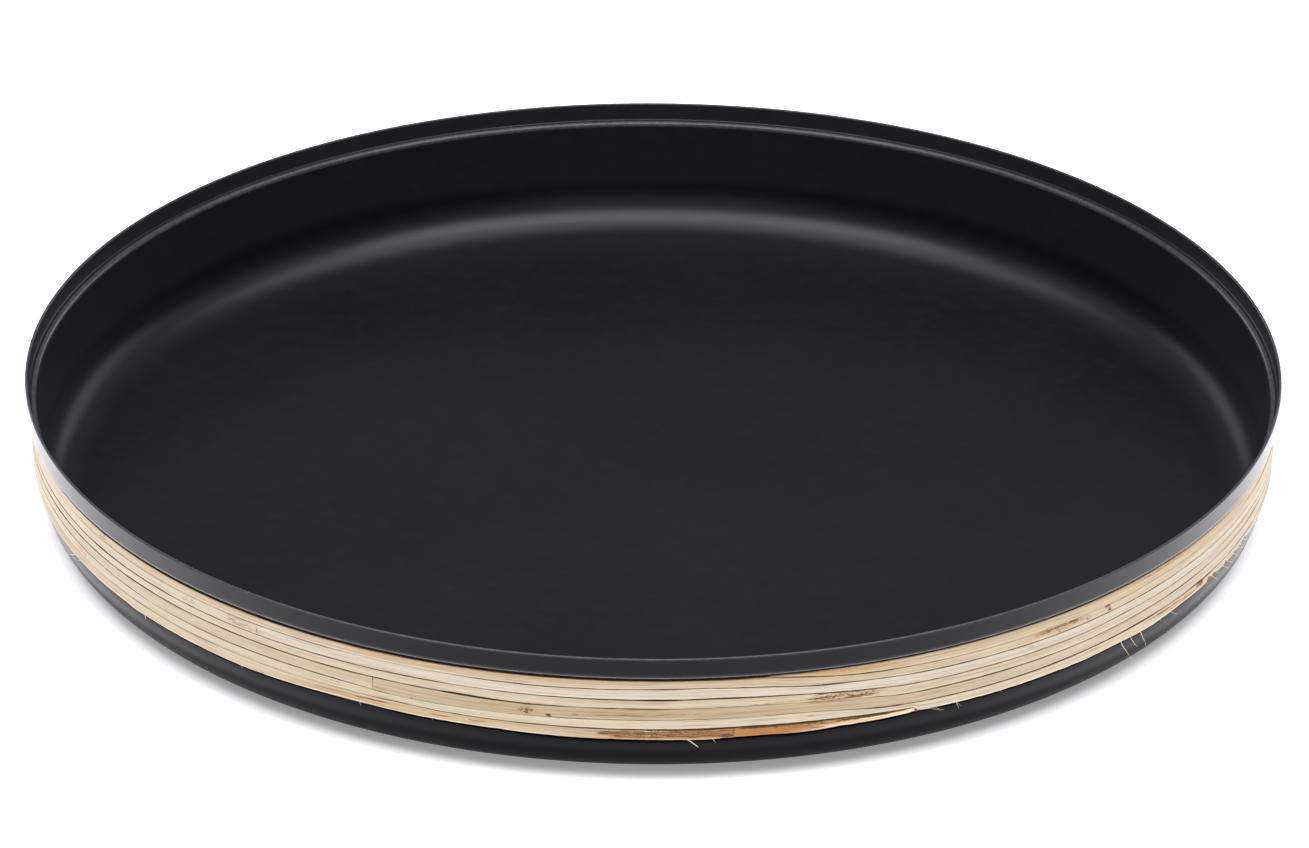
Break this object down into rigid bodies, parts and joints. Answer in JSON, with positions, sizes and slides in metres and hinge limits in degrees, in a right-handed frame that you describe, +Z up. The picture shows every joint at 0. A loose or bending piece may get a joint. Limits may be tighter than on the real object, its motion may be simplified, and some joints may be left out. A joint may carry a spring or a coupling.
{
  "type": "serving tray",
  "caption": "Round black powder-coated metal serving tray with a low upright rim, its outside wall wrapped in a wound band of natural split bamboo.",
  "frame": {"origin": "Centre of the flat underside, where the tray stands.", "axes": "+Z is up through the open side. -Y is the front. The courses of bamboo step down at the right of the front, towards +X."},
  "size_m": [0.42, 0.42, 0.0455],
  "materials": {
    "black_coat": "satin black powder coat",
    "adhesive": "dried amber glue",
    "bamboo": "raw split bamboo, matt"
  },
  "bodies": {
    "root": {"pan": "black_coat", "adhesive_film": "adhesive", "bamboo_strip_01": "bamboo", "bamboo_strip_02": "bamboo", "bamboo_strip_03": "bamboo", "bamboo_strip_04": "bamboo", "bamboo_strip_05": "bamboo", "bamboo_strip_06": "bamboo", "bamboo_strip_07": "bamboo", "bamboo_strip_08": "bamboo", "bamboo_strip_09": "bamboo", "bamboo_strip_10": "bamboo"}
  },
  "joints": []
}
